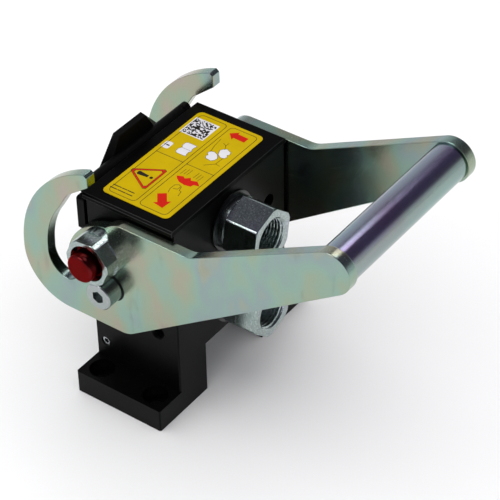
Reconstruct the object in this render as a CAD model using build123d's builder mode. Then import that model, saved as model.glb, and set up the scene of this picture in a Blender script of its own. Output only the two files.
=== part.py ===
from build123d import *
import os
from math import cos, radians, sin

# Fixed half of a two-line hydraulic multi-coupler with a cam-hook locking lever.
# Millimetres. X is the lever's pivot direction, -Y the hose side, +Y the mating side, Z up.
# The origin is the centre of the four-bolt foot pattern, on the underside of the feet.

os.makedirs("parts", exist_ok=True)

# ---------------------------------------------------------------- driving dimensions
BODY_HALF_W = 45.0          # half width of the portal body
BODY_HALF_D = 26.5          # half depth of the body and feet
LEG_INNER_X = 23.6          # inner face of each leg
BRIDGE_Z = 30.4             # underside of the bridge
BODY_TOP_Z = 112.6          # top of the body, under the cover plate
FOOT_HALF_W = 62.0          # outer end of each foot
FOOT_T = 13.0               # foot thickness
FOOT_BOLT_X, FOOT_BOLT_Y = 53.0, 17.0
FOOT_BOLT_R, FOOT_CBORE_R, FOOT_CBORE_DEPTH = 4.5, 6.75, 8.5

COVER_HALF_W = 46.1         # top cover plate
COVER_BACK_Y = 27.4
COVER_T = 3.0
COVER_TOP_Z = BODY_TOP_Z + COVER_T
LABEL_W, LABEL_D, LABEL_T, LABEL_Y = 79.0, 39.9, 0.25, 1.15
COVER_SCREWS = [(x, y) for x in (-30, 30) for y in (-14, 16)]    # countersunk M4, under the label

PORT_Z = (93.6, 47.9)       # heights of the two coupling axes
BORE_R = 15.0               # bore in the body for a coupling
FLANGE_R, FLANGE_T = 16.6, 4.0
HEX_AF = 28.0
HEX_TURNED_R = 15.75        # the bar that the hexagon is milled from; it leaves a narrow round on each corner
HEX_OUTER_Y, HEX_INNER_Y = -51.0, -32.2
HEX_TURN = 18.9             # angle of one hexagon corner from +X
COLLAR_R = 14.3
RELIEF_W, RELIEF_R = 0.5, 13.6      # narrow groove between hexagon and collar
RING_Y0, RING_Y1 = -27.6, -26.5
PORT_THREAD_R = 9.4         # core radius of the G1/2 hose port
PORT_THREAD_L = 15.0
SEAT_R = 8.0                # bore that the valve poppet closes
CHAMBER_R = 9.5

GUIDES = ((31.0, 85.0), (-31.0, 56.5))   # guide bores, as (x, z)
GUIDE_R, GUIDE_BUSH_R, GUIDE_BUSH_L = 5.0, 7.0, 18.0
GUIDE_BACK_R = 4.25

PIVOT = (8.0, 70.7)         # lever pivot, as (y, z)
LOCK = (9.8, 93.6)          # lock button axis, as (y, z)
PLATE_IN_X, PLATE_OUT_X = 46.4, 52.4
LOBE_TOP_Z = {-1: 111.4, 1: 114.0}      # flat top of each plate's lobe; the right one has no lock in it
HANDLE = (-119.2, 139.7)    # handle tube axis, as (y, z)
HANDLE_R, HANDLE_WALL = 10.0, 2.0
LEVER_END_R = 11.2

PIVOT_SHOULDER_R, PIVOT_BUSH_R, PIVOT_THREAD_R = 6.0, 8.0, 5.0
PIVOT_HEAD_R, PIVOT_HEAD_X0, PIVOT_HEAD_X1 = 7.4, 53.2, 62.3
PIVOT_THREAD_END_X = 27.0

LOCK_HEX_AF, LOCK_ROUND_R, LOCK_BORE_R = 23.5, 12.6, 9.8
LOCK_HEX_TURN = 54.0        # angle of one hexagon corner from +Y
LOCK_FACE_X, LOCK_HEX_END_X, LOCK_FLOOR_X = -66.3, -57.9, -56.4
BUTTON_R, BUTTON_FACE_X = 7.5, -72.0
LOCK_STEM_R, LOCK_NOSE_R = 3.2, 4.0
LOCK_NOSE_X0, LOCK_NOSE_X1 = -46.5, -42.9
GROOVE_HALF_W = 4.4         # half width of the groove that the lock pin's nose runs in
GROOVE_FLOOR_X = -39.4

HINGE = (30.8, 114.1)       # dust cover hinge, as (y, z)
BARREL_R, BARREL_HALF_L = 3.0, 36.0
EAR_IN_X, EAR_OUT_X = 36.4, 40.4
HINGE_PIN_R = 1.25
DUST_Y0, DUST_Y1 = 27.8, 32.5
DUST_BOTTOM_Z, DUST_TOP_Z = 31.5, 110.6


def polar(centre, r, deg):
    """Point at an angle on a circle in the Y-Z plane."""
    return (centre[0] + r * cos(radians(deg)), centre[1] + r * sin(radians(deg)))


def save(piece, name):
    piece.part.label = name
    export_step(piece.part, f"parts/{name}.step")


# ---------------------------------------------------------------- body
with BuildPart() as body_block:
    with BuildSketch(Plane.XZ):
        with Locations((0, BODY_TOP_Z / 2)):
            Rectangle(2 * BODY_HALF_W, BODY_TOP_Z)
        with Locations((0, FOOT_T / 2)):
            Rectangle(2 * FOOT_HALF_W, FOOT_T)
        with Locations((0, BRIDGE_Z / 2)):
            Rectangle(2 * LEG_INNER_X, BRIDGE_Z, mode=Mode.SUBTRACT)
    extrude(amount=BODY_HALF_D, both=True)
    upright = body_block.edges().filter_by(Axis.Z)
    chamfer([e for e in upright if abs(e.center().X) > LEG_INNER_X + 1], length=0.7)
    # ears of the dust cover hinge, at the top of the mating face
    for x0, x1 in ((EAR_IN_X, EAR_OUT_X), (-EAR_OUT_X, -EAR_IN_X)):
        with BuildSketch(Plane.YZ.offset(x0)):
            with BuildLine():
                Polyline((BODY_HALF_D - 1, 104.5), (27.6, 104.5), (33.4, 110.6), (33.8, HINGE[1]),
                         (HINGE[0], HINGE[1]), (27.8, BODY_TOP_Z - 0.2), (BODY_HALF_D - 1, BODY_TOP_Z - 0.2),
                         close=True)
            make_face()
            with Locations(HINGE):
                Circle(BARREL_R)
        extrude(amount=x1 - x0)
    with Locations(Plane(origin=(EAR_OUT_X + 1, *HINGE), z_dir=(1, 0, 0))):
        Hole(HINGE_PIN_R, depth=2 * EAR_OUT_X + 2)
    # foot bolt holes
    with Locations(Plane.XY.offset(FOOT_T)):
        with GridLocations(2 * FOOT_BOLT_X, 2 * FOOT_BOLT_Y, 2, 2):
            CounterBoreHole(FOOT_BOLT_R, FOOT_CBORE_R, FOOT_CBORE_DEPTH, depth=FOOT_T)
    # threads for the top cover's screws
    with Locations(*[(x, y, BODY_TOP_Z) for x, y in COVER_SCREWS]):
        Hole(2.05, depth=9)
    # coupling bores, with a seat for each coupling's flange in the mating face
    for z in PORT_Z:
        with Locations(Plane(origin=(0, BODY_HALF_D, z), z_dir=(0, 1, 0))):
            CounterBoreHole(BORE_R, FLANGE_R + 0.05, FLANGE_T, depth=2 * BODY_HALF_D)
    # guide bores
    for x, z in GUIDES:
        with Locations(Plane(origin=(x, BODY_HALF_D, z), z_dir=(0, 1, 0))):
            CounterBoreHole(GUIDE_BACK_R, GUIDE_BUSH_R, GUIDE_BUSH_L, depth=2 * BODY_HALF_D)
    # holes in the leg sides: pivot thread, auxiliary M8 thread, grub screw
    for side in (1, -1):
        face_x = side * BODY_HALF_W
        with Locations(Plane(origin=(face_x, *PIVOT), z_dir=(side, 0, 0))):
            Hole(PIVOT_THREAD_R + 0.05, depth=BODY_HALF_W - PIVOT_THREAD_END_X + 1)
        with Locations(Plane(origin=(face_x, -13.9, 46.6), z_dir=(side, 0, 0))):
            CounterSinkHole(3.4, 4.2, depth=14)
        with Locations(Plane(origin=(face_x, 20.5, 23.5), z_dir=(side, 0, 0))):
            Hole(2.65, depth=8)
    # groove for the lock pin's nose, an arc about the pivot that runs out at the mating face
    lock_radius = ((LOCK[0] - PIVOT[0]) ** 2 + (LOCK[1] - PIVOT[1]) ** 2) ** 0.5
    with BuildSketch(Plane.YZ.offset(-BODY_HALF_W - 1)):
        with BuildLine():
            groove = ThreePointArc(LOCK, polar(PIVOT, lock_radius, 40), polar(PIVOT, lock_radius, -5))
        SlotArc(groove, 2 * GROOVE_HALF_W)
    extrude(amount=BODY_HALF_W + 1 + GROOVE_FLOOR_X, mode=Mode.SUBTRACT)
save(body_block, "body_block")

# ---------------------------------------------------------------- top cover, its screws and label
with BuildPart() as top_cover:
    with BuildSketch(Plane.XY.offset(BODY_TOP_Z)):
        with Locations((0, (COVER_BACK_Y - BODY_HALF_D) / 2)):
            Rectangle(2 * COVER_HALF_W, COVER_BACK_Y + BODY_HALF_D)
    extrude(amount=COVER_T)
    rims = top_cover.faces().sort_by(Axis.Z)[-1].edges().filter_by(Axis.Y)
    chamfer(rims, length=1.0)
    with Locations(*[(x, y, COVER_TOP_Z) for x, y in COVER_SCREWS]):
        CounterSinkHole(2.1, 4.1, depth=COVER_T)
save(top_cover, "top_cover")

with BuildPart() as cover_screws:
    with BuildSketch(Plane.XZ):
        with BuildLine():
            Polyline((0, BODY_TOP_Z - 0.2), (2, BODY_TOP_Z - 0.2), (2, COVER_TOP_Z - 2.05),
                     (4, COVER_TOP_Z - 0.05), (0, COVER_TOP_Z - 0.05), close=True)
        make_face()
    revolve(axis=Axis.Z)
screw = cover_screws.part
with BuildPart() as cover_screws:
    for x, y in COVER_SCREWS:
        add(screw.moved(Location((x, y, 0))))
save(cover_screws, "cover_screws")

with BuildPart() as warning_label:
    with BuildSketch(Plane.XY.offset(COVER_TOP_Z)):
        with Locations((0, LABEL_Y)):
            RectangleRounded(LABEL_W, LABEL_D, 3)
    extrude(amount=LABEL_T)
save(warning_label, "warning_label")

# ---------------------------------------------------------------- couplings
hex_r = HEX_AF / 2 / cos(radians(30))


def coupling_body(z):
    """Hexagon, collar and barrel of one coupling, bored for its port, valve and seat."""
    port = Plane(origin=(0, 0, z), x_dir=(1, 0, 0), z_dir=(0, -1, 0))
    with BuildPart() as unit:
        with BuildSketch(port.offset(-HEX_INNER_Y)):
            RegularPolygon(hex_r, 6, rotation=HEX_TURN)
        extrude(amount=HEX_INNER_Y - HEX_OUTER_Y)
        # turned corners, with a chamfer at the outer face
        with BuildSketch(Plane.YZ):
            with BuildLine():
                Polyline((HEX_OUTER_Y, z), (HEX_OUTER_Y, z + 15.1), (HEX_OUTER_Y + 0.6, z + HEX_TURNED_R),
                         (HEX_INNER_Y, z + HEX_TURNED_R), (HEX_INNER_Y, z), close=True)
            make_face()
        revolve(axis=Axis((0, 0, z), (0, 1, 0)), mode=Mode.INTERSECT)
        # collar, ring groove, barrel and flange, with the passage through them
        with BuildSketch(Plane.YZ):
            with BuildLine():
                collar_y = HEX_INNER_Y + RELIEF_W
                Polyline((HEX_INNER_Y, z), (HEX_INNER_Y, z + RELIEF_R), (collar_y, z + RELIEF_R),
                         (collar_y, z + COLLAR_R), (RING_Y0, z + COLLAR_R),
                         (RING_Y0, z + 12.8), (RING_Y1, z + 12.8), (RING_Y1, z + BORE_R - 0.05),
                         (BODY_HALF_D - FLANGE_T, z + BORE_R - 0.05), (BODY_HALF_D - FLANGE_T, z + FLANGE_R),
                         (BODY_HALF_D, z + FLANGE_R), (BODY_HALF_D, z), close=True)
            make_face()
        revolve(axis=Axis((0, 0, z), (0, 1, 0)))
        with BuildSketch(Plane.YZ):
            with BuildLine():
                port_end = HEX_OUTER_Y + PORT_THREAD_L
                Polyline((HEX_OUTER_Y, z), (HEX_OUTER_Y, z + 10.9), (HEX_OUTER_Y + 1.5, z + PORT_THREAD_R),
                         (port_end, z + PORT_THREAD_R), (port_end + 2.0, z + 7.4), (-12, z + 7.4),
                         (-12, z + CHAMBER_R), (20, z + CHAMBER_R), (20, z + SEAT_R), (BODY_HALF_D, z + SEAT_R),
                         (BODY_HALF_D, z), close=True)
            make_face()
        revolve(axis=Axis((0, 0, z), (0, 1, 0)), mode=Mode.SUBTRACT)
        # groove for the face seal
        with BuildSketch(Plane(origin=(0, BODY_HALF_D, z), x_dir=(1, 0, 0), z_dir=(0, -1, 0))):
            Circle(13.2)
            Circle(10.8, mode=Mode.SUBTRACT)
        extrude(amount=2.0, mode=Mode.SUBTRACT)
    return unit


def poppet(z):
    """Flat-faced valve poppet with a guided stem, closed against the end of its chamber."""
    with BuildPart() as unit:
        with BuildSketch(Plane.YZ):
            with BuildLine():
                Polyline((26.3, z), (26.3, z + SEAT_R - 0.38), (26.0, z + SEAT_R - 0.08),
                         (19.6, z + SEAT_R - 0.08), (19.6, z + 9.1), (14.0, z + 9.1), (14.0, z + 2.5),
                         (-14.0, z + 2.5), (-14.8, z + 1.7), (-14.8, z), close=True)
            make_face()
        revolve(axis=Axis((0, 0, z), (0, 1, 0)))
    return unit


upper_coupling_body = coupling_body(PORT_Z[0])
save(upper_coupling_body, "upper_coupling_body")
lower_coupling_body = coupling_body(PORT_Z[1])
save(lower_coupling_body, "lower_coupling_body")
upper_poppet = poppet(PORT_Z[0])
save(upper_poppet, "upper_poppet")
lower_poppet = poppet(PORT_Z[1])
save(lower_poppet, "lower_poppet")

# spiders that carry the poppet stems
with BuildPart() as valve_guides:
    for z in PORT_Z:
        with BuildSketch(Plane(origin=(0, -11.95, z), x_dir=(-1, 0, 0), z_dir=(0, 1, 0))):
            Circle(CHAMBER_R - 0.05)
            Circle(2.58, mode=Mode.SUBTRACT)
            with PolarLocations(6.2, 4):
                Circle(1.9, mode=Mode.SUBTRACT)
        extrude(amount=3.0)
save(valve_guides, "valve_guides")


def coil(origin, direction, mean_r, wire_r, length, turns):
    """Open coil spring from an end face, along a direction."""
    run = length - 2 * wire_r
    start = Vector(origin) + Vector(direction) * wire_r
    with BuildPart() as unit:
        with BuildLine() as path:
            Helix(pitch=run / turns, height=run, radius=mean_r, center=start, direction=direction)
        with BuildSketch(Plane(origin=path.line @ 0, z_dir=path.line % 0)):
            Circle(wire_r)
        sweep(is_frenet=True)
    return unit


upper_valve_spring = coil((0, -8.9, PORT_Z[0]), (0, 1, 0), 5.4, 0.8, 22.6, 6)
save(upper_valve_spring, "upper_valve_spring")
lower_valve_spring = coil((0, -8.9, PORT_Z[1]), (0, 1, 0), 5.4, 0.8, 22.6, 6)
save(lower_valve_spring, "lower_valve_spring")

with BuildPart() as face_seals:
    for z in PORT_Z:
        with BuildSketch(Plane.YZ):
            with Locations((25.62, z + 12.0)):
                Circle(1.08)
        revolve(axis=Axis((0, 0, z), (0, 1, 0)))
save(face_seals, "face_seals")

# external snap rings that hold the couplings against the body
with BuildPart() as retaining_rings:
    for z in PORT_Z:
        with BuildSketch(Plane(origin=(0, RING_Y0 + 0.05, z), x_dir=(-1, 0, 0), z_dir=(0, 1, 0))):
            Circle(15.9)
            Circle(12.85, mode=Mode.SUBTRACT)
            with Locations((0, -14.5)):
                Rectangle(7, 5, mode=Mode.SUBTRACT)
        extrude(amount=RING_Y1 - RING_Y0 - 0.05)
save(retaining_rings, "retaining_rings")

with BuildPart() as guide_bushes:
    for x, z in GUIDES:
        with BuildSketch(Plane(origin=(x, BODY_HALF_D - GUIDE_BUSH_L, z), x_dir=(-1, 0, 0), z_dir=(0, 1, 0))):
            Circle(GUIDE_BUSH_R)
            Circle(GUIDE_R, mode=Mode.SUBTRACT)
        extrude(amount=GUIDE_BUSH_L)
    mouths = guide_bushes.faces().filter_by(Axis.Y).group_by(Axis.Y)[-1].edges()
    chamfer([e for e in mouths if e.radius < GUIDE_R + 0.1], length=1.0)
save(guide_bushes, "guide_bushes")

# ---------------------------------------------------------------- lever
HOOK = (-0.9, 71.0)          # centre of the hook's outer arc, as (y, z)
HOOK_R, HEEL_R = 64.1, 27.1
HOOK_LIFT = {-1: 1.6, 1: 3.6}   # rise of the outer arc above the heel, near and far plate
HEEL = (HOOK[0] + HOOK_R - HEEL_R, HOOK[1])
SLOT_END, SLOT_END_R = (34.8, 74.9), 12.5
LOW_CORNER = (2.6, HEEL[1] - HEEL_R)
tail_low = (HANDLE[0] - 0.571 * LEVER_END_R, HANDLE[1] - 0.821 * LEVER_END_R)
tail_top = (HANDLE[0] + 0.466 * LEVER_END_R, HANDLE[1] + 0.885 * LEVER_END_R)


def lever_outline(lobe_z, lift):
    """Side view of a lever plate: cam hook, hub, flat-topped lobe and the arm to the handle."""
    arc = (HOOK[0], HOOK[1] + lift)
    tip = polar(arc, HOOK_R, 71)
    nose, chin = (tip[0] - 1.8, tip[1] - 1.4), (18.0, 125.4 + lift / 2)
    with BuildLine() as outline:
        ThreePointArc(tip, polar(arc, HOOK_R, 36), polar(arc, HOOK_R, 0))
        Line(polar(arc, HOOK_R, 0), polar(HEEL, HEEL_R, 0))
        ThreePointArc(polar(HEEL, HEEL_R, 0), polar(HEEL, HEEL_R, -45), polar(HEEL, HEEL_R, -90))
        Line(polar(HEEL, HEEL_R, -90), LOW_CORNER)
        ThreePointArc(LOW_CORNER, polar((LOW_CORNER[0], LOW_CORNER[1] + 12), 12, -107.4),
                      polar((LOW_CORNER[0], LOW_CORNER[1] + 12), 12, -124.8))
        Line(polar((LOW_CORNER[0], LOW_CORNER[1] + 12), 12, -124.8), tail_low)
        ThreePointArc(tail_low, (HANDLE[0] - LEVER_END_R * 0.966, HANDLE[1] + LEVER_END_R * 0.259), tail_top)
        Line(tail_top, (-43.6, lobe_z + 1.2))
        ThreePointArc((-43.6, lobe_z + 1.2), (-40.9, lobe_z + 0.3), (-38.0, lobe_z))
        Line((-38.0, lobe_z), (-0.5, lobe_z))
        ThreePointArc((-0.5, lobe_z), (4.9, lobe_z - 1.8), (8.8, 106.6))
        ThreePointArc((8.8, 106.6), (24.2, 99.0), (33.3, 84.0))
        ThreePointArc((33.3, 84.0), (27.0, 73.5), polar(SLOT_END, SLOT_END_R, -90))
        ThreePointArc(polar(SLOT_END, SLOT_END_R, -90), polar(SLOT_END, SLOT_END_R, -40),
                      (47.2, 77.0))
        ThreePointArc((47.2, 77.0), (45.2, 91.0), (38.7, 104.1))
        Line((38.7, 104.1), (32.3, 114.8))
        ThreePointArc((32.3, 114.8), (30.6, 116.9), (28.4, 118.5))
        Line((28.4, 118.5), chin)
        Line(chin, nose)
        Line(nose, tip)
    return outline


def lever_plate(side, lock_hole):
    """One lever plate, bored for its pivot bush and handle spigot."""
    with BuildPart() as unit:
        with BuildSketch(Plane.YZ.offset(PLATE_IN_X if side > 0 else -PLATE_OUT_X)):
            add(lever_outline(LOBE_TOP_Z[side], HOOK_LIFT[side]).line)
            make_face()
            with Locations(PIVOT):
                Circle(PIVOT_BUSH_R, mode=Mode.SUBTRACT)
            if lock_hole:
                with Locations(LOCK):
                    Circle(7.05, mode=Mode.SUBTRACT)
        extrude(amount=PLATE_OUT_X - PLATE_IN_X)
        with Locations(Plane(origin=(side * PLATE_IN_X, *HANDLE), z_dir=(-side, 0, 0))):
            Hole(6.0, depth=4.0)
    return unit


lever_plate_left = lever_plate(-1, True)
save(lever_plate_left, "lever_plate_left")
lever_plate_right = lever_plate(1, False)
save(lever_plate_right, "lever_plate_right")

with BuildPart() as handle_tube:
    with BuildSketch(Plane.YZ):
        with Locations(HANDLE):
            Circle(HANDLE_R)
            Circle(HANDLE_R - HANDLE_WALL, mode=Mode.SUBTRACT)
    extrude(amount=PLATE_IN_X, both=True)
save(handle_tube, "handle_tube")

with BuildPart() as handle_spigots:
    for side in (1, -1):
        with BuildSketch(Plane.YZ.offset(side * (PLATE_IN_X - 14))):
            with Locations(HANDLE):
                Circle(HANDLE_R - HANDLE_WALL)
        extrude(amount=side * 14)
        with BuildSketch(Plane.YZ.offset(side * PLATE_IN_X)):
            with Locations(HANDLE):
                Circle(6.0)
        extrude(amount=side * 3.9)
save(handle_spigots, "handle_spigots")

# ---------------------------------------------------------------- pivots
with BuildPart() as pivot_bushes:
    for side in (1, -1):
        with BuildSketch(Plane.YZ.offset(side * PLATE_IN_X)):
            with Locations(PIVOT):
                Circle(PIVOT_BUSH_R)
                Circle(PIVOT_SHOULDER_R + 0.06, mode=Mode.SUBTRACT)
        extrude(amount=side * (PLATE_OUT_X - PLATE_IN_X))
save(pivot_bushes, "pivot_bushes")

with BuildPart() as thrust_washers:
    for side in (1, -1):
        with BuildSketch(Plane.YZ.offset(side * BODY_HALF_W)):
            with Locations(PIVOT):
                Circle(13.0)
                Circle(PIVOT_SHOULDER_R + 0.1, mode=Mode.SUBTRACT)
        extrude(amount=side * 1.3)
save(thrust_washers, "thrust_washers")

with BuildPart() as pivot_screws:
    for side in (1, -1):
        with BuildSketch(Plane.XY.offset(PIVOT[1])):
            with BuildLine():
                y = PIVOT[0]
                Polyline((side * PIVOT_THREAD_END_X, y), (side * PIVOT_THREAD_END_X, y + 4.2),
                         (side * (PIVOT_THREAD_END_X + 0.8), y + PIVOT_THREAD_R),
                         (side * BODY_HALF_W, y + PIVOT_THREAD_R), (side * BODY_HALF_W, y + PIVOT_SHOULDER_R),
                         (side * PIVOT_HEAD_X0, y + PIVOT_SHOULDER_R), (side * PIVOT_HEAD_X0, y + PIVOT_HEAD_R),
                         (side * (PIVOT_HEAD_X1 - 0.6), y + PIVOT_HEAD_R),
                         (side * PIVOT_HEAD_X1, y + PIVOT_HEAD_R - 0.6), (side * PIVOT_HEAD_X1, y), close=True)
            make_face()
        revolve(axis=Axis((0, y, PIVOT[1]), (1, 0, 0)))
        with BuildSketch(Plane.YZ.offset(side * PIVOT_HEAD_X1)):
            with Locations(PIVOT):
                RegularPolygon(3.5, 6, rotation=30)
        extrude(amount=-side * 5.0, mode=Mode.SUBTRACT)
save(pivot_screws, "pivot_screws")

# ---------------------------------------------------------------- lever lock
with BuildPart() as lock_housing:
    with BuildSketch(Plane.YZ.offset(LOCK_FACE_X)):
        with Locations(LOCK):
            RegularPolygon(LOCK_HEX_AF / 2 / cos(radians(30)), 6, rotation=LOCK_HEX_TURN)
    extrude(amount=LOCK_HEX_END_X - LOCK_FACE_X)
    # turned corners, then the round collar that sits on the plate
    with BuildSketch(Plane.XY.offset(LOCK[1])):
        with BuildLine():
            y = LOCK[0]
            chamfer_r = LOCK_ROUND_R - 0.4
            Polyline((LOCK_FACE_X, y), (LOCK_FACE_X, y + chamfer_r), (LOCK_FACE_X + 0.4, y + LOCK_ROUND_R),
                     (LOCK_HEX_END_X, y + LOCK_ROUND_R), (LOCK_HEX_END_X, y), close=True)
        make_face()
    revolve(axis=Axis((0, LOCK[0], LOCK[1]), (1, 0, 0)), mode=Mode.INTERSECT)
    with BuildSketch(Plane.YZ.offset(LOCK_HEX_END_X)):
        with Locations(LOCK):
            Circle(LOCK_ROUND_R - 0.1)
    extrude(amount=-PLATE_OUT_X - LOCK_HEX_END_X)
    with BuildSketch(Plane.YZ.offset(-PLATE_OUT_X)):
        with Locations(LOCK):
            Circle(7.0)
    extrude(amount=5.6)
    with Locations(Plane(origin=(LOCK_FACE_X, *LOCK), z_dir=(-1, 0, 0))):
        Hole(LOCK_BORE_R, depth=LOCK_FLOOR_X - LOCK_FACE_X)
        Hole(LOCK_STEM_R + 0.07, depth=25)
save(lock_housing, "lock_housing")

with BuildPart() as lock_button:
    with BuildSketch(Plane.XY.offset(LOCK[1])):
        with BuildLine():
            y = LOCK[0]
            Polyline((BUTTON_FACE_X, y), (BUTTON_FACE_X, y + BUTTON_R - 0.8),
                     (BUTTON_FACE_X + 0.8, y + BUTTON_R), (-62.5, y + BUTTON_R), (-62.5, y + LOCK_BORE_R - 0.1),
                     (-60.5, y + LOCK_BORE_R - 0.1), (-60.5, y + 6.2), (-68.5, y + 6.2),
                     (-68.5, y + LOCK_STEM_R), (-71.0, y + LOCK_STEM_R), (-71.0, y), close=True)
        make_face()
    revolve(axis=Axis((0, LOCK[0], LOCK[1]), (1, 0, 0)))
save(lock_button, "lock_button")

with BuildPart() as lock_pin:
    with BuildSketch(Plane.XY.offset(LOCK[1])):
        with BuildLine():
            y = LOCK[0]
            Polyline((-71.0, y), (-71.0, y + LOCK_STEM_R), (LOCK_NOSE_X0, y + LOCK_STEM_R),
                     (LOCK_NOSE_X0, y + LOCK_NOSE_R), (LOCK_NOSE_X1 - 0.6, y + LOCK_NOSE_R),
                     (LOCK_NOSE_X1, y + LOCK_NOSE_R - 0.6), (LOCK_NOSE_X1, y), close=True)
        make_face()
    revolve(axis=Axis((0, LOCK[0], LOCK[1]), (1, 0, 0)))
save(lock_pin, "lock_pin")

lock_spring = coil((LOCK_FLOOR_X - 0.05, *LOCK), (-1, 0, 0), 4.9, 0.45, 12.0, 5)
save(lock_spring, "lock_spring")

# ---------------------------------------------------------------- dust cover
with BuildPart() as dust_cover:
    # door over the mating face, with round corners and a notch round each hinge ear
    with BuildSketch(Plane.XZ.offset(-DUST_Y1)):
        with Locations((0, (DUST_BOTTOM_Z + DUST_TOP_Z) / 2)):
            Rectangle(2 * BODY_HALF_W, DUST_TOP_Z - DUST_BOTTOM_Z)
        fillet(vertices().group_by(Axis.Y)[0], radius=14)
        fillet(vertices().group_by(Axis.Y)[-1], radius=1.5)
        with Locations((0, HINGE[1] - 5)):
            Rectangle(2 * BARREL_HALF_L, 10)
        for side in (1, -1):
            with Locations((side * (EAR_IN_X + EAR_OUT_X) / 2, 108.2)):
                Rectangle(EAR_OUT_X - EAR_IN_X + 0.8, 9.0, mode=Mode.SUBTRACT)
    extrude(amount=DUST_Y1 - DUST_Y0)
    with BuildSketch(Plane.YZ):
        with Locations(HINGE):
            Circle(BARREL_R)
    extrude(amount=BARREL_HALF_L, both=True)
    # finger tab behind the door, with its flanks bevelled towards the label
    with BuildSketch(Plane.XZ.offset(-36.0)):
        with BuildLine():
            Polyline((-23.2, 112.0), (-10.8, 126.2), (10.8, 126.2), (23.2, 112.0), (23.2, 96.0), (-23.2, 96.0),
                     close=True)
        make_face()
    with BuildSketch(Plane.XZ.offset(-DUST_Y1 + 0.2)):
        with BuildLine():
            Polyline((-18.6, 112.0), (-10.2, 125.8), (10.2, 125.8), (18.6, 112.0), (18.6, 96.0), (-18.6, 96.0),
                     close=True)
        make_face()
    loft()
    # pin bore, and a wider length at one end for the return spring
    with Locations(Plane(origin=(BARREL_HALF_L, *HINGE), z_dir=(1, 0, 0))):
        Hole(HINGE_PIN_R + 0.07, depth=2 * BARREL_HALF_L)
    with Locations(Plane(origin=(-BARREL_HALF_L, *HINGE), z_dir=(-1, 0, 0))):
        Hole(2.25, depth=14)
    # relief for the lock pin's nose in the side edge
    with BuildSketch(Plane.YZ.offset(-BODY_HALF_W - 1)):
        with Locations((30, 77.5)):
            Rectangle(8, 29)
    extrude(amount=BODY_HALF_W + 1 + GROOVE_FLOOR_X + 0.3, mode=Mode.SUBTRACT)
save(dust_cover, "dust_cover")

with BuildPart() as cover_seal:
    with BuildSketch(Plane.XZ.offset(-DUST_Y0)):
        with Locations((0, sum(PORT_Z) / 2)):
            RectangleRounded(36, 78, 12)
    extrude(amount=0.8)
save(cover_seal, "cover_seal")

with BuildPart() as hinge_pin:
    with BuildSketch(Plane.YZ):
        with Locations(HINGE):
            Circle(HINGE_PIN_R)
    extrude(amount=EAR_OUT_X, both=True)
    chamfer(hinge_pin.faces().filter_by(Axis.X).edges(), length=0.3)
save(hinge_pin, "hinge_pin")

cover_spring = coil((-BARREL_HALF_L - 0.2, *HINGE), (1, 0, 0), 1.8, 0.32, 13.8, 12)
save(cover_spring, "cover_spring")

# ---------------------------------------------------------------- grub screws in the leg sides
with BuildPart() as grub_screws:
    for side in (1, -1):
        with BuildSketch(Plane.YZ.offset(side * 38.0)):
            with Locations((20.5, 23.5)):
                Circle(2.6)
        extrude(amount=side * 6.4)
        with BuildSketch(Plane.YZ.offset(side * 44.4)):
            with Locations((20.5, 23.5)):
                RegularPolygon(1.5, 6)
        extrude(amount=-side * 2.5, mode=Mode.SUBTRACT)
save(grub_screws, "grub_screws")
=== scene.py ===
import math
import random

import bmesh
import bpy
from mathutils import Matrix, Vector


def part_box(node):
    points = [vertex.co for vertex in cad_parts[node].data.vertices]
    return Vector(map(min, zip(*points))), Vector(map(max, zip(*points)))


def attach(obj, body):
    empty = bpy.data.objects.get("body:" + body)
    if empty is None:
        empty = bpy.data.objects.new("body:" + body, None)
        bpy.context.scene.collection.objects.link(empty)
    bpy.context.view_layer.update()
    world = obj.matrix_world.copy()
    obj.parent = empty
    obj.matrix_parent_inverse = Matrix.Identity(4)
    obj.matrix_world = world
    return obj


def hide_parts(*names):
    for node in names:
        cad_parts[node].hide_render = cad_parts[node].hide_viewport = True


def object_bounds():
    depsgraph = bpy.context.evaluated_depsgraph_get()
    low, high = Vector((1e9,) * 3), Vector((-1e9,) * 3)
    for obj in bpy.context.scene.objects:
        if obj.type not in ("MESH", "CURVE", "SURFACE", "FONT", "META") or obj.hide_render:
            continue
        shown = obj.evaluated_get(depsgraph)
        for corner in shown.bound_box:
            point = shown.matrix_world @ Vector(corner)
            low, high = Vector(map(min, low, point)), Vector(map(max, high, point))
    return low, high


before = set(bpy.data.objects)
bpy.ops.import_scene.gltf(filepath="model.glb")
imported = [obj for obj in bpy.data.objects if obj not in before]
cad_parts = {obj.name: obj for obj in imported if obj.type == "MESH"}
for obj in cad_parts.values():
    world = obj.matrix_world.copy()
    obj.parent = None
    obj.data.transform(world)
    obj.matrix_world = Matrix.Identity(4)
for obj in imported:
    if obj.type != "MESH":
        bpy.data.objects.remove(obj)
CAD_LO, CAD_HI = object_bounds()

# Looks for the fixed half of a hydraulic multi-coupler. Numbers are millimetres, in the row frame:
# X along the lever's pivot, -Y the hose side, Z up. MM turns them into Blender's metres.
MM = 0.001
TAU = 2 * math.pi
random.seed(7)

# design numbers shared with the CAD
PORT_Z = {"upper_coupling_body": 93.6, "lower_coupling_body": 47.9}
PORT_FACE_Y = -51.0                                    # front of the hose ports
LOCK = (9.8, 93.6)                                     # lock button's axis, as (y, z)
HANDLE, HANDLE_R = (-119.2, 139.7), 10.0               # handle tube's axis, as (y, z), and its radius
AUX_HOLE = (44.6, -13.9, 46.6)                         # mouth of the threaded hole in a leg's side
BSPP = dict(core=9.46, depth=0.95, pitch=1.814)        # G1/2 port thread
M8 = dict(core=3.45, depth=0.55, pitch=1.25)
PORT_THREAD_L, AUX_THREAD_L = 15.2, 13.0
LABEL_HALF_L = 39.5


def mm(*v):
    return Vector(v) * MM


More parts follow.
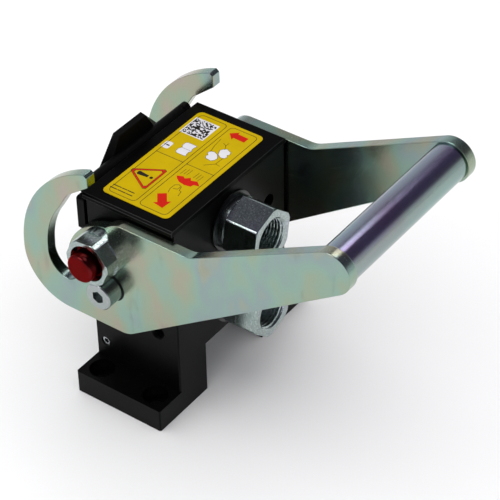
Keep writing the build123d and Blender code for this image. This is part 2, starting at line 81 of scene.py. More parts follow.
# ------------------------------------------------------------------ materials
def shader(name, color, metallic, roughness, **sockets):
    """A Principled material with constant values on its own sockets. Returns (material, tree, shader)."""
    mat = bpy.data.materials.new(name)
    mat.use_nodes = True
    tree = mat.node_tree
    bsdf = tree.nodes["Principled BSDF"]
    bsdf.inputs["Base Color"].default_value = (*color, 1)
    bsdf.inputs["Metallic"].default_value = metallic
    bsdf.inputs["Roughness"].default_value = roughness
    for key, value in sockets.items():
        bsdf.inputs[key.replace("_", " ")].default_value = value
    return mat, tree, bsdf


def coords(tree, scale=(1, 1, 1), rotation=(0, 0, 0)):
    """Object coordinates, which move with the piece, stretched by scale."""
    tc = tree.nodes.new("ShaderNodeTexCoord")
    mp = tree.nodes.new("ShaderNodeMapping")
    mp.inputs["Scale"].default_value = scale
    mp.inputs["Rotation"].default_value = rotation
    tree.links.new(tc.outputs["Object"], mp.inputs["Vector"])
    return mp.outputs["Vector"]


def noise(tree, vector, per_mm, detail=2.0, rough=0.5):
    """Noise with about per_mm features in each millimetre."""
    n = tree.nodes.new("ShaderNodeTexNoise")
    n.inputs["Scale"].default_value = per_mm / MM
    n.inputs["Detail"].default_value = detail
    n.inputs["Roughness"].default_value = rough
    tree.links.new(vector, n.inputs["Vector"])
    return n.outputs["Fac"]


def crystals(tree, vector, per_mm):
    """One random value for each crystal of a zinc spangle."""
    cell = tree.nodes.new("ShaderNodeTexVoronoi")
    cell.inputs["Scale"].default_value = per_mm / MM
    tree.links.new(vector, cell.inputs["Vector"])
    parts = tree.nodes.new("ShaderNodeSeparateXYZ")
    tree.links.new(cell.outputs["Color"], parts.inputs[0])
    return parts.outputs["X"]


def ramp(tree, value, stops):
    """Colour ramp; a stop is (position, colour) and a colour may be one grey level."""
    r = tree.nodes.new("ShaderNodeValToRGB")
    while len(r.color_ramp.elements) < len(stops):
        r.color_ramp.elements.new(0.5)
    for element, (pos, col) in zip(r.color_ramp.elements, stops):
        element.position = pos
        element.color = (*col, 1) if isinstance(col, tuple) else (col, col, col, 1)
    tree.links.new(value, r.inputs["Fac"])
    return r.outputs["Color"]


def spread(tree, value, low, high):
    """Maps a noise value to a range."""
    m = tree.nodes.new("ShaderNodeMapRange")
    m.inputs["From Min"].default_value = 0.3
    m.inputs["From Max"].default_value = 0.7
    m.inputs["To Min"].default_value = low
    m.inputs["To Max"].default_value = high
    tree.links.new(value, m.inputs["Value"])
    return m.outputs["Result"]


def mix(tree, fac, a, b, mode="MIX"):
    """Mixes two colours; fac may be a number or a socket."""
    m = tree.nodes.new("ShaderNodeMix")
    m.data_type = "RGBA"
    m.blend_type = mode
    for key, value in (("Factor", fac), ("A", a), ("B", b)):
        socket = next(s for s in m.inputs if s.name == key and s.enabled)
        if isinstance(value, bpy.types.NodeSocket):
            tree.links.new(value, socket)
        else:
            socket.default_value = value
    return next(s for s in m.outputs if s.enabled)


def add(tree, a, b, gain=1.0):
    """a + gain * b, for heights."""
    m = tree.nodes.new("ShaderNodeMath")
    m.operation = "MULTIPLY_ADD"
    tree.links.new(b, m.inputs[0])
    m.inputs[1].default_value = gain
    tree.links.new(a, m.inputs[2])
    return m.outputs[0]


def bump(tree, bsdf, height, strength, distance=0.05):
    """Bump from a height, with its distance in millimetres."""
    b = tree.nodes.new("ShaderNodeBump")
    b.inputs["Strength"].default_value = strength
    b.inputs["Distance"].default_value = distance * MM
    tree.links.new(height, b.inputs["Height"])
    tree.links.new(b.outputs["Normal"], bsdf.inputs["Normal"])


def anodised(name, level, rough, gloss=0.16, grain=0.25):
    """Black anodised aluminium: fine etched grain with a faint cutter lay under it."""
    mat, t, s = shader(name, (level,) * 3, 0.0, rough, IOR=1.5, Specular_IOR_Level=gloss)
    v = coords(t)
    cloud = noise(t, v, 0.035, 3)
    fine = noise(t, v, 6.0, 2)
    lay = noise(t, coords(t, (0.05, 3, 3)), 1.2, 2)
    tone = ramp(t, cloud, [(0.3, (level * 0.8, level * 0.8, level * 0.8)),
                           (0.7, (level * 1.25, level * 1.22, level * 1.15))])
    t.links.new(tone, s.inputs["Base Color"])
    t.links.new(spread(t, add(t, cloud, fine, 0.35), rough - 0.03, rough + 0.10), s.inputs["Roughness"])
    bump(t, s, add(t, fine, lay, 0.5), grain, 0.012)
    return mat


FLAKES_PER_MM = 2.3


def zinc(name, stops, rough, hue_per_mm=0.022, drift=(1, 1, 1), spangle=0.0, stains=0.0,
         grain_per_mm=2.2, lay=(1, 1, 1), lay_gain=0.6, strength=0.25):
    """Zinc with passivation tints that drift over it, spangle, stains and a rolled or turned lay."""
    mat, t, s = shader(name, stops[0][1], 1.0, rough)
    v = coords(t)
    hue = noise(t, coords(t, drift), hue_per_mm, 2.5, 0.55)
    tone = ramp(t, hue, stops)
    grain = noise(t, v, grain_per_mm, 3, 0.6)
    if stains:
        smears = ramp(t, noise(t, coords(t, (1, 1.6, 0.5), (0.5, 0, 0)), 0.07, 5, 0.62),
                      [(0.28, (1 - stains, 1 - stains, 1 - 0.9 * stains)), (0.42, 1.0), (0.70, 1.0)])
        tone = mix(t, 1.0, tone, smears, "MULTIPLY")
    if spangle:
        flakes = ramp(t, crystals(t, v, FLAKES_PER_MM), [(0.10, 1 - spangle), (0.60, 1 - 0.3 * spangle),
                                                         (0.85, 1.0), (0.97, 1 + 1.6 * spangle)])
        tone = mix(t, 1.0, tone, flakes, "MULTIPLY")
    t.links.new(tone, s.inputs["Base Color"])
    t.links.new(spread(t, grain, rough - 0.04, rough + 0.07), s.inputs["Roughness"])
    streaks = noise(t, coords(t, lay), 1.5, 3)
    bump(t, s, add(t, grain, streaks, lay_gain), strength, 0.010)
    return mat


PLATE_TINTS = [(0.28, (0.400, 0.335, 0.320)), (0.38, (0.365, 0.360, 0.275)), (0.46, (0.310, 0.385, 0.285)),
               (0.54, (0.270, 0.400, 0.335)), (0.61, (0.275, 0.360, 0.350)), (0.68, (0.355, 0.365, 0.270)),
               (0.78, (0.390, 0.345, 0.320))]
BRIGHT_TINTS = [(0.35, (0.32, 0.40, 0.38)), (0.50, (0.38, 0.45, 0.43)), (0.65, (0.37, 0.41, 0.45))]
TURNED_TINTS = [(0.35, (0.34, 0.38, 0.37)), (0.65, (0.41, 0.43, 0.44))]
STEEL_TINTS = [(0.35, (0.38, 0.38, 0.38)), (0.65, (0.46, 0.46, 0.45))]
BRONZE_TINTS = [(0.35, (0.36, 0.23, 0.10)), (0.65, (0.46, 0.31, 0.15))]
DARK_TINTS = [(0.35, (0.05, 0.05, 0.05)), (0.65, (0.09, 0.09, 0.09))]
# zinc tints of the handle, laid round the tube by height as painted reflection bands
TUBE_REFLECTION_TINTS = [(0.05, (0.24, 0.36, 0.33)), (0.26, (0.31, 0.39, 0.36)), (0.42, (0.28, 0.27, 0.45)),
              (0.58, (0.34, 0.30, 0.48)), (0.76, (0.30, 0.34, 0.42)), (0.95, (0.28, 0.36, 0.40))]


def tube_zinc():
    """The handle's zinc, partly painted reflection: its tint changes from grey-blue over violet to pale
    green round the tube, painted bands that stand in for the studio it reflects.

    The painted bands follow the height on the tube, 0 below the grip to 1 on top, leant back by y."""
    lean, rise, cloud_gain = 0.87, 0.5, 0.5
    middle = rise * HANDLE[1] / HANDLE_R + cloud_gain / 2
    mat, t, s = shader("zinc_tube", (0.36, 0.40, 0.44), 1.0, 0.19)
    split = t.nodes.new("ShaderNodeSeparateXYZ")
    t.links.new(coords(t), split.inputs[0])
    around = t.nodes.new("ShaderNodeMath")
    around.operation = "MULTIPLY_ADD"
    t.links.new(split.outputs["Y"], around.inputs[0])
    around.inputs[1].default_value = lean / (HANDLE_R * MM)
    around.inputs[2].default_value = -lean * HANDLE[0] / HANDLE_R
    level = t.nodes.new("ShaderNodeMath")
    level.operation = "MULTIPLY_ADD"
    t.links.new(split.outputs["Z"], level.inputs[0])
    level.inputs[1].default_value = rise / (HANDLE_R * MM)
    t.links.new(around.outputs[0], level.inputs[2])
    cloud = noise(t, coords(t, (0.35, 1, 1)), 0.05, 3)
    # painted reflection: the tint follows the height round the tube, with a random cloud mixed in
    painted_bands_with_cloud = spread(t, add(t, level.outputs[0], cloud, cloud_gain), 0.0, 1.0)
    painted_bands_with_cloud.node.inputs["From Min"].default_value = middle - 1.0
    painted_bands_with_cloud.node.inputs["From Max"].default_value = middle + 1.0
    tone = ramp(t, painted_bands_with_cloud, TUBE_REFLECTION_TINTS)
    pinkish = ramp(t, noise(t, coords(t, (0.6, 1, 1)), 0.05, 2), [(0.38, 1.0), (0.62, (1.0, 0.86, 0.92))])
    tone = mix(t, 1.0, tone, pinkish, "MULTIPLY")
    t.links.new(tone, s.inputs["Base Color"])
    grain = noise(t, coords(t), 1.6, 4, 0.65)
    t.links.new(spread(t, grain, 0.15, 0.27), s.inputs["Roughness"])
    drawn = noise(t, coords(t, (0.04, 1, 1)), 2.0, 3)
    bump(t, s, add(t, grain, drawn, 0.7), 0.22, 0.010)
    return mat


def red_anodised():
    """The push-button: red anodised metal with a thin gloss coat."""
    mat, t, s = shader("red_anodised", (0.14, 0.004, 0.007), 1.0, 0.24, Coat_Weight=0.06,
                       Coat_Roughness=0.10, Specular_Tint=(0.9, 0.05, 0.06, 1.0))
    v = coords(t)
    tone = ramp(t, noise(t, v, 0.12, 3), [(0.3, (0.080, 0.006, 0.007)), (0.7, (0.150, 0.009, 0.011))])
    t.links.new(tone, s.inputs["Base Color"])
    fine = noise(t, v, 5.0, 2)
    t.links.new(spread(t, fine, 0.22, 0.33), s.inputs["Roughness"])
    bump(t, s, fine, 0.2, 0.008)
    return mat


def vinyl(name, color, rough=0.36):
    """Printed vinyl film: slight mottling and a fine orange-peel surface."""
    mat, t, s = shader(name, color, 0.0, rough, Specular_IOR_Level=0.03)
    v = coords(t)
    mottle = noise(t, v, 0.10, 3)
    dim = tuple(c * 0.90 for c in color)
    t.links.new(ramp(t, mottle, [(0.3, dim), (0.7, color)]), s.inputs["Base Color"])
    peel = noise(t, v, 1.6, 2)
    t.links.new(spread(t, peel, rough - 0.03, rough + 0.06), s.inputs["Roughness"])
    bump(t, s, peel, 0.15, 0.010)
    return mat


def rubber():
    """Black rubber with a fine matt grain."""
    mat, t, s = shader("black_rubber", (0.015,) * 3, 0.0, 0.6)
    v = coords(t)
    fine = noise(t, v, 3.0, 3)
    t.links.new(ramp(t, fine, [(0.3, 0.010), (0.7, 0.022)]), s.inputs["Base Color"])
    t.links.new(spread(t, fine, 0.52, 0.70), s.inputs["Roughness"])
    bump(t, s, fine, 0.35, 0.02)
    return mat


M = {
    "anodised": anodised("black_anodised", 0.0014, 0.26, 0.075),
    "cover": anodised("black_anodised_cover", 0.0014, 0.24, 0.030),
    # painted highlight: the bevelled edges take a lighter base than the faces they round, for the thin
    # light lines that edges catch
    "highlit_edge": anodised("black_anodised_painted_highlight_edge", 0.008, 0.30, 0.30),
    "door": anodised("black_anodised_door", 0.0014, 0.42, 0.08, 0.4),
    "plate": zinc("zinc_plate", PLATE_TINTS, 0.21, 0.024, drift=(1, 1.4, 0.9), stains=0.16,
                  lay=(1, 0.06, 1), strength=0.09),
    "tube": tube_zinc(),
    "hex": zinc("zinc_bright", BRIGHT_TINTS, 0.19, 0.06, spangle=0.26, grain_per_mm=1.5, strength=0.26),
    "turned": zinc("zinc_turned", TURNED_TINTS, 0.20, 0.06, spangle=0.12, lay=(6, 0.4, 0.4)),
    "steel": zinc("plain_steel", STEEL_TINTS, 0.28, 0.05),
    "bronze": zinc("bearing_bronze", BRONZE_TINTS, 0.30, 0.05, spangle=0.2),
    "dark": zinc("blackened_steel", DARK_TINTS, 0.30, 0.05),
    "polymer": anodised("bearing_polymer", 0.012, 0.5, 0.3, 0.4),
    "red": red_anodised(),
    "rubber": rubber(),
    "yellow": vinyl("vinyl_yellow", (0.51, 0.355, 0.0010)),
    "ink": vinyl("print_black", (0.020, 0.018, 0.014)),
    "white": vinyl("print_white", (0.66, 0.65, 0.68)),
    "signal": vinyl("print_red", (0.53, 0.014, 0.006)),
}


# ------------------------------------------------------------------ mesh tools
def place(name, mesh, body, mats):
    """Links a mesh as a piece that rides on a CAD body, with its materials."""
    o = bpy.data.objects.new(name, mesh)
    bpy.context.scene.collection.objects.link(o)
    mesh.materials.clear()
    for key in mats:
        mesh.materials.append(M[key])
    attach(o, body)
    return o


def clean_copy(node):
    """Copy of a CAD node's mesh with its flat regions joined into single faces."""
    bm = bmesh.new()
    bm.from_mesh(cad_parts[node].data)
    bmesh.ops.remove_doubles(bm, verts=bm.verts, dist=2e-6)
    bmesh.ops.dissolve_limit(bm, angle_limit=math.radians(0.5), verts=bm.verts, edges=bm.edges)
    mesh = bpy.data.meshes.new(node + "_clean")
    bm.to_mesh(mesh)
    bm.free()
    for name in ("custom_normal", "sharp_edge", "sharp_face"):
        if name in mesh.attributes:
            mesh.attributes.remove(mesh.attributes[name])
    return mesh


def settle(o):
    """Replaces an object's mesh by what its modifiers make of it."""
    dg = bpy.context.evaluated_depsgraph_get()
    dg.update()
    mesh = bpy.data.meshes.new_from_object(o.evaluated_get(dg), depsgraph=dg)
    o.modifiers.clear()
    o.data = mesh
    return o


def shade(o, angle=32):
    """Smooth shading that keeps edges sharper than the angle."""
    for p in o.data.polygons:
        p.use_smooth = True
    o.data.set_sharp_from_angle(angle=math.radians(angle))
    n = o.modifiers.new("normals", "WEIGHTED_NORMAL")
    n.keep_sharp = True
    return o


def round_edges(o, width, segments=2, limit=32, edge_slot=-1):
    """Bevels edges sharper than the limit; the new faces may take their own material slot."""
    b = o.modifiers.new("edges", "BEVEL")
    b.width = width * MM
    b.segments = segments
    b.limit_method = "ANGLE"
    b.angle_limit = math.radians(limit)
    b.miter_outer = "MITER_ARC"
    b.material = edge_slot
    return o


def cut(o, cutter):
    """Cuts a solid out of a piece and removes the cutter."""
    c = o.modifiers.new("cut", "BOOLEAN")
    c.operation = "DIFFERENCE"
    c.solver = "EXACT"
    c.object = cutter
    settle(o)
    bpy.data.objects.remove(cutter)
    return o


def machined(node, body, mats, width=0.3, segments=2, edge_slot=-1, cutters=()):
    """A CAD node rebuilt with clean faces and small rounded edges, in place of the plain one."""
    o = place("fine_" + node, clean_copy(node), body, mats)
    round_edges(o, width, segments, edge_slot=edge_slot)
    settle(o)
    for cutter in cutters:
        cut(o, cutter)
    shade(o)
    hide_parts(node)
    return o


def solid(name, bm):
    """A mesh object that rides on nothing, for cutters."""
    mesh = bpy.data.meshes.new(name)
    bmesh.ops.recalc_face_normals(bm, faces=bm.faces)
    bm.to_mesh(mesh)
    bm.free()
    o = bpy.data.objects.new(name, mesh)
    bpy.context.scene.collection.objects.link(o)
    return o


def threaded_plug(name, centre, axis, side, length, core, depth, pitch, turns_in=0.0):
    """Closed solid with a helical 55 degree thread, starting turns_in before the mouth at centre."""
    ax = Vector(axis).normalized()
    u = Vector(side).normalized()
    w = ax.cross(u)
    around, per_pitch = 96, 14
    along = int(math.ceil(length / pitch * per_pitch))
    bm = bmesh.new()
    rings = []
    for j in range(along + 1):
        d = length * j / along - turns_in
        ring = []
        for i in range(around):
            a = TAU * i / around
            phase = (d / pitch - i / around) % 1.0
            off = abs(phase - 0.5)                     # from the middle of the tooth, in pitches
            tooth = max(0.0, min(1.0, 1.35 - off * 3.4)) if off < 0.42 else 0.0
            out = (u * math.cos(a) + w * math.sin(a)) * (core + depth * tooth)
            ring.append(bm.verts.new((Vector(centre) - ax * d + out) * MM))
        rings.append(ring)
    for a, b in zip(rings, rings[1:]):
        for i in range(around):
            k = (i + 1) % around
            bm.faces.new((a[i], a[k], b[k], b[i]))
    bm.faces.new(rings[0])
    bm.faces.new(rings[-1])
    return solid(name, bm)


def flat_piece(name, loops, z, thick, key, body="base"):
    """Thin closed prisms from plan outlines (x, y), such as printed marks on a label."""
    bm = bmesh.new()
    for loop in loops:
        area = sum(a[0] * b[1] - b[0] * a[1] for a, b in zip(loop, loop[1:] + loop[:1]))
        if area < 0:
            loop = loop[::-1]
        low = [bm.verts.new(mm(x, y, z)) for x, y in loop]
        top = [bm.verts.new(mm(x, y, z + thick)) for x, y in loop]
        bm.faces.new(low[::-1])
        bm.faces.new(top)
        for i in range(len(loop)):
            k = (i + 1) % len(loop)
            bm.faces.new((low[i], low[k], top[k], top[i]))
    mesh = bpy.data.meshes.new(name)
    bm.to_mesh(mesh)
    bm.free()
    return place(name, mesh, body, [key])


# ------------------------------------------------------------------ machined pieces
PORT_LEAD_IN = 0.35                # how far the port's cutter stands out of its face
COLLAR_FROM_R, COLLAR_CUT = 9, 0.04    # the button's hidden collar, drawn in to clear its bore's facets


def aux_thread(side):
    """Cutter for the M8 thread in a leg's side."""
    x, y, z = AUX_HOLE
    return threaded_plug("aux_thread", (side * x, y, z), (side, 0, 0), (0, 1, 0), AUX_THREAD_L, **M8)


def port_thread(z):
    """Cutter for the G1/2 thread in a hose port."""
    return threaded_plug("port_thread", (0, PORT_FACE_Y + PORT_LEAD_IN, z), (0, -1, 0), (1, 0, 0),
                         PORT_THREAD_L, **BSPP)


# the bevels of the block and its cover take the painted edge highlight
machined("body_block", "base", ["anodised", "highlit_edge"], 0.35, edge_slot=1,
         cutters=[aux_thread(-1), aux_thread(1)])
machined("top_cover", "base", ["cover", "highlit_edge"], 0.22, edge_slot=1)
machined("dust_cover", "dust_door", ["door"], 0.3, 3)
for node, z in PORT_Z.items():
    machined(node, "base", ["hex"], 0.5, 3, cutters=[port_thread(z)])
for node in ("lever_plate_left", "lever_plate_right"):
    machined(node, "lever", ["plate"], 0.45, 3)
machined("handle_tube", "lever", ["tube"], 0.8, 1)
machined("pivot_screws", "base", ["turned"], 0.25, 3)
machined("lock_housing", "lever", ["hex"], 0.5, 3)
button = machined("lock_button", "lock", ["red"], 0.35, 3)
for vert in button.data.vertices:
    arm = Vector((0, vert.co.y / MM - LOCK[0], vert.co.z / MM - LOCK[1]))
    if arm.length > COLLAR_FROM_R:
        vert.co -= arm * COLLAR_CUT * MM
machined("grub_screws", "base", ["turned"], 0.15)
machined("retaining_rings", "base", ["dark"], 0.12)
machined("thrust_washers", "base", ["polymer"], 0.15)
machined("guide_bushes", "base", ["bronze"], 0.15)
machined("hinge_pin", "base", ["steel"], 0.12)
machined("warning_label", "base", ["yellow"], 0.06)

CARRIED = {
    "cover_screws": "dark", "upper_poppet": "turned", "lower_poppet": "turned", "valve_guides": "steel",
    "upper_valve_spring": "steel", "lower_valve_spring": "steel", "face_seals": "rubber",
    "handle_spigots": "steel", "pivot_bushes": "polymer", "lock_pin": "steel", "lock_spring": "steel",
    "cover_seal": "rubber", "cover_spring": "steel",
}
for node, key in CARRIED.items():
    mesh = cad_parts[node].data
    mesh.materials.clear()
    mesh.materials.append(M[key])

# ------------------------------------------------------------------ printing on the label
LABEL_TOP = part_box("warning_label")[1].z / MM
INK_T = 0.03                       # print thickness
LINE = 0.28                        # printed line width


def stroke(points, width=LINE, closed=False):
    """A line of even width along points, as one outline per run."""
    loops = []
    run = list(points) + ([points[0]] if closed else [])
    for (x0, y0), (x1, y1) in zip(run, run[1:]):
        d = math.hypot(x1 - x0, y1 - y0)
        if d < 1e-6:
            continue
        ux, uy = (x1 - x0) / d, (y1 - y0) / d
        h = width / 2
        x0, y0, x1, y1 = x0 - ux * h * 0.6, y0 - uy * h * 0.6, x1 + ux * h * 0.6, y1 + uy * h * 0.6
        loops.append([(x0 - uy * h, y0 + ux * h), (x1 - uy * h, y1 + ux * h),
                      (x1 + uy * h, y1 - ux * h), (x0 + uy * h, y0 - ux * h)])
    return loops


def rounded(x0, y0, x1, y1, r, steps=6):
    """Outline of a rectangle with round corners."""
    out = []
    corners = ((x1 - r, y1 - r, 0), (x0 + r, y1 - r, 90), (x0 + r, y0 + r, 180), (x1 - r, y0 + r, 270))
    for cx, cy, a0 in corners:
        for i in range(steps + 1):
            a = math.radians(a0 + 90 * i / steps)
            out.append((cx + r * math.cos(a), cy + r * math.sin(a)))
    return out


def ring(loop_out, loop_in):
    """Closed band between two outlines with the same number of points, as quads."""
    n = len(loop_out)
    return [[loop_out[i], loop_out[(i + 1) % n], loop_in[(i + 1) % n], loop_in[i]] for i in range(n)]


def shrunk(points, centre, k):
    """Points drawn in towards centre, to k of their distance."""
    return [(centre[0] + (x - centre[0]) * k, centre[1] + (y - centre[1]) * k) for x, y in points]


def softened(points, centre, k):
    """A polygon at k of its size, each corner cut to a short curve."""
    out = []
    for i, (x, y) in enumerate(points):
        (bx, by), (ax, ay) = points[i - 1], points[(i + 1) % len(points)]
        for before, after in ((0.09, 0.0), (0.06, 0.03), (0.03, 0.06), (0.0, 0.09)):
            out.append((x + (bx - x) * before + (ax - x) * after, y + (by - y) * before + (ay - y) * after))
    return shrunk(out, centre, k)


def turned(points, centre, degrees, size=1.0):
    """Points of a pictogram, scaled, turned and put in place."""
    c, s = math.cos(math.radians(degrees)), math.sin(math.radians(degrees))
    return [(centre[0] + size * (x * c - y * s), centre[1] + size * (x * s + y * c)) for x, y in points]


def arrow(centre, degrees, length=8.6, head=6.4, shaft=3.3):
    """Block arrow that points along degrees."""
    h = head * 0.55
    return turned([(-length / 2, -shaft / 2), (length / 2 - h, -shaft / 2), (length / 2 - h, -head / 2),
                   (length / 2, 0), (length / 2 - h, head / 2), (length / 2 - h, shaft / 2),
                   (-length / 2, shaft / 2)], centre, degrees)


black, white, red = [], [], []
# two long panels with thin outlines, each divided once
LX0, LX1 = 2.0 - LABEL_HALF_L, LABEL_HALF_L - 2.0      # panels' ends, 2 mm inside the label's
LY = 1.15                                              # middle of the label
PANEL_R, DIVIDER_X = 2.4, 0.5
for y0, y1 in ((LY + 1.0, LY + 17.6), (LY - 17.6, LY - 1.0)):
    black += ring(rounded(LX0, y0, LX1, y1, PANEL_R),
                  rounded(LX0 + LINE, y0 + LINE, LX1 - LINE, y1 - LINE, PANEL_R - LINE))
    black += stroke([(DIVIDER_X, y0), (DIVIDER_X, y1)])

# upper panel: a block of random cells, a reference box, an open book, a hazard triangle, short rules
code, cells, margin, dark_share = 14.4, 17, 0.7, 0.53
cx0, cy0 = 19.9, LY + 3.9
white.append([(cx0, cy0), (cx0 + code, cy0), (cx0 + code, cy0 + code), (cx0, cy0 + code)])
cell = (code - 2 * margin) / cells
inked = cell * 0.98                                    # a hair apart, so that neighbours share no edge
for i in range(cells):
    for j in range(cells):
        x, y = cx0 + margin + i * cell, cy0 + margin + j * cell
        if random.random() < dark_share:
            black.append([(x, y), (x + inked, y), (x + inked, y + inked), (x, y + inked)])
white.append(rounded(4.8, 15.3, 10.4, 19.5, 1.0))
black.append(rounded(7.1, 16.0, 8.0, 17.9, 0.3, 3))
black.append(rounded(7.1, 18.3, 8.0, 19.0, 0.3, 3))
PAGE = [(0.0, 0.0), (1.2, 0.9), (3.0, 0.9), (4.4, 0.2), (4.9, 1.2), (4.9, 5.9), (4.0, 6.9), (1.6, 7.0),
        (0.0, 6.0)]
spine = (9.9, 4.0)
for side in (1, -1):
    leaf = [(spine[0] + side * x, spine[1] + y) for x, y in PAGE]
    white.append(leaf)
    black += stroke(leaf, 0.16, True)
TRI = [(-18.1, 20.2), (-27.6, 4.4), (-8.6, 4.4)]
tri_mid = (sum(p[0] for p in TRI) / 3, sum(p[1] for p in TRI) / 3)
for prints, outside, inside in ((black, 1.06, 1.02), (red, 1.01, 0.86), (black, 0.86, 0.82)):
    prints += ring(softened(TRI, tri_mid, outside), softened(TRI, tri_mid, inside))
# exclamation mark: bar and dot
black.append([(-19.5, 14.8), (-18.9, 9.2), (-17.3, 9.2), (-16.7, 14.8), (-17.3, 15.6), (-18.9, 15.6)])
black.append(rounded(-19.0, 6.4, -17.2, 8.2, 0.88, 5))
for x, runs in ((-32.3, ((6.4, 10.2), (10.9, 13.6), (14.2, 19.0))),
                (-34.6, ((6.0, 9.4), (10.0, 14.6), (15.3, 19.2)))):
    for y0, y1 in runs:
        black += stroke([(x, y0), (x, y1)], 0.55)

# lower panel: two arrows, a pair of hands with flow lines, a burst with spray lines, a plain hand
red.append(arrow((32.4, -7.4), 88, 10.4, 7.0, 3.8))
red.append(arrow((-29.2, -8.0), -142, 11.4, 8.6, 4.6))
PALM = [(-2.6, -1.2), (-1.5, -2.3), (1.0, -2.2), (2.8, -1.0), (3.2, 0.6), (2.2, 1.8), (0.9, 1.4),
        (0.2, 2.3), (-1.2, 2.4), (-2.0, 1.4), (-3.0, 0.4)]
for centre, angle in (((12.4, -6.2), 35), ((17.6, -10.0), 200)):
    hand = turned(PALM, centre, angle, 1.25)
    white.append(hand)
    black += stroke(hand, 0.2, True)
for run in ([(15.0, -3.4), (20.4, -2.2), (26.2, -1.6)], [(20.2, -8.4), (23.2, -6.8), (25.6, -7.0)],
            [(14.4, -11.8), (8.4, -11.6), (4.4, -7.4)], [(8.4, -11.6), (8.0, -14.2)],
            [(23.2, -6.8), (24.2, -4.6)]):
    black += stroke(run, 0.22)
BURST = [(-4.6, -0.2), (-2.2, 0.9), (-1.0, 0.2), (0.6, 1.8), (1.6, 0.5), (4.0, 1.5), (6.4, -0.4),
         (4.2, -0.9), (3.8, -2.4), (1.2, -3.0), (-1.6, -2.6), (-3.4, -1.4)]
red.append(turned(BURST, (-9.6, -7.6), -92, 1.30))
for y, gap in ((-2.2, 0.0), (-3.8, 0.6), (-5.4, 0.9), (-9.4, 0.9), (-11.0, 0.6), (-12.6, 0.0)):
    black += stroke([(-7.4 + gap, y), (-3.0 + gap, y - 0.2)], 0.2)
FIST = [(-3.4, 1.6), (-1.0, 2.2), (1.6, 1.8), (2.4, 0.4), (1.6, -1.0), (-0.6, -1.4), (-0.8, -2.4),
        (-3.6, -2.8)]
THUMB = [(-0.6, 1.2), (-0.2, -0.4), (1.4, -0.6)]
for run in (FIST, THUMB):
    black += stroke(turned(run, (-17.8, -8.0), 5, 1.3), 0.24)

# white lies on the yellow, then red and black on both, so that no two prints share a face
PRINT_Z = LABEL_TOP - 0.01
flat_piece("label_white", white, PRINT_Z, INK_T, "white")
flat_piece("label_red", red, PRINT_Z, INK_T + 0.01, "signal")
flat_piece("label_black", black, PRINT_Z, INK_T + 0.02, "ink")


# ------------------------------------------------------------------ floor, light and camera
def floor_material():
    """Pale matt floor with a very faint mottle."""
    mat, t, s = shader("studio_floor", (0.89, 0.89, 0.88), 0.0, 0.75)
    tone = ramp(t, noise(t, coords(t), 0.004, 2), [(0.3, (0.88, 0.88, 0.87)), (0.7, (0.90, 0.90, 0.895))])
    t.links.new(tone, s.inputs["Base Color"])
    return mat


bm = bmesh.new()
bmesh.ops.create_grid(bm, x_segments=8, y_segments=8, size=4.0)
floor_mesh = bpy.data.meshes.new("studio_floor")
bm.to_mesh(floor_mesh)
bm.free()
floor = bpy.data.objects.new("studio_floor", floor_mesh)
floor.location.z = CAD_LO.z - 0.0002
floor_mesh.materials.append(floor_material())
bpy.context.scene.collection.objects.link(floor)


def softbox(name, place_at, look_at, size, power, seen_in_gloss=True, lights_matt=True):
    """Area light out of the camera's sight, which may be left out of reflections or of matt light."""
    data = bpy.data.lights.new(name, "AREA")
    data.shape = "RECTANGLE"
    data.size, data.size_y = size
    data.energy = power
    o = bpy.data.objects.new(name, data)
    o.location = place_at
    o.rotation_mode = "QUATERNION"
    o.rotation_quaternion = (Vector(look_at) - Vector(place_at)).to_track_quat("-Z", "Y")
    o.visible_camera = False
    o.visible_glossy = seen_in_gloss
    o.visible_diffuse = lights_matt
    bpy.context.scene.collection.objects.link(o)


MIDDLE = (CAD_LO + CAD_HI) / 2
softbox("ceiling", (-0.2, 0.1, 2.6), MIDDLE, (6.0, 6.0), 178, seen_in_gloss=False)
softbox("window", (-1.20, 0.66, 1.75), MIDDLE, (1.0, 1.3), 17, lights_matt=False)
softbox("strip", (0.346, -0.035, 0.661), mm(-55, 10, 94), (0.26, 0.08), 0.28, lights_matt=False)

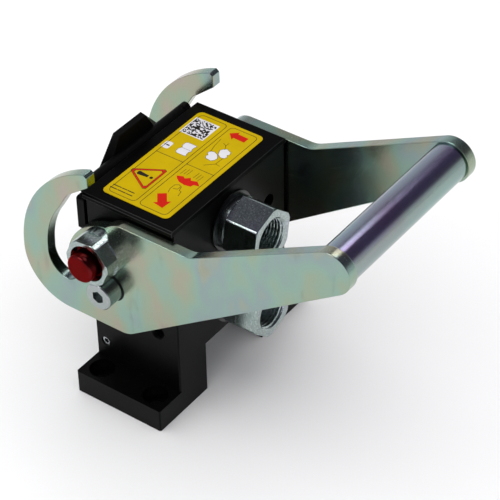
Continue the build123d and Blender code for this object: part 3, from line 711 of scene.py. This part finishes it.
# camera at the photograph's viewing angle; a roll turns its right and up vectors about its axis
AZ, EL, ROLL = math.radians(-53.25), math.radians(39.29), math.radians(-1.17)
back = Vector((math.sin(AZ) * math.cos(EL), -math.cos(AZ) * math.cos(EL), math.sin(EL)))
right = Vector((math.cos(AZ), math.sin(AZ), 0))
up = back.cross(right)
right2 = right * math.cos(ROLL) + up * math.sin(ROLL)
up2 = up * math.cos(ROLL) - right * math.sin(ROLL)
cam_data = bpy.data.cameras.new("camera")
cam_data.sensor_width = 36.0
cam_data.lens = 150.37                                 # millimetres, for a 36 mm sensor
cam_data.clip_start, cam_data.clip_end = 0.05, 50
cam = bpy.data.objects.new("camera", cam_data)
cam.matrix_world = Matrix.Translation(mm(-630.9, -508.7, 724.1)) @ Matrix(
    (right2, up2, back)).transposed().to_4x4()
bpy.context.scene.collection.objects.link(cam)
bpy.context.scene.camera = cam

# a pale sweep round the floor under a dark ceiling, as metal in a product studio reflects; the sweep
# stands higher towards +Y than towards -Y, the side of the hose ports
world = bpy.data.worlds.new("studio")
bpy.context.scene.world = world
world.use_nodes = True
wt = world.node_tree
bg = wt.nodes["Background"]
direction = wt.nodes.new("ShaderNodeTexCoord")
split = wt.nodes.new("ShaderNodeSeparateXYZ")
wt.links.new(direction.outputs["Generated"], split.inputs[0])
tilt = wt.nodes.new("ShaderNodeMath")
tilt.operation = "MULTIPLY_ADD"
wt.links.new(split.outputs["Y"], tilt.inputs[0])
tilt.inputs[1].default_value = -0.8
tilt.inputs[2].default_value = 1.0
lean = wt.nodes.new("ShaderNodeMath")
lean.operation = "MULTIPLY"
wt.links.new(split.outputs["Z"], lean.inputs[0])
wt.links.new(tilt.outputs[0], lean.inputs[1])
sky = ramp(wt, lean.outputs[0], [(0.05, (0.74, 0.76, 0.80)), (0.36, (0.52, 0.52, 0.54)),
                                 (0.48, (0.20, 0.19, 0.23)), (0.58, (0.085, 0.075, 0.10))])
wt.links.new(sky, bg.inputs["Color"])
bg.inputs["Strength"].default_value = 1.0
bpy.context.scene.view_settings.view_transform = "Standard"
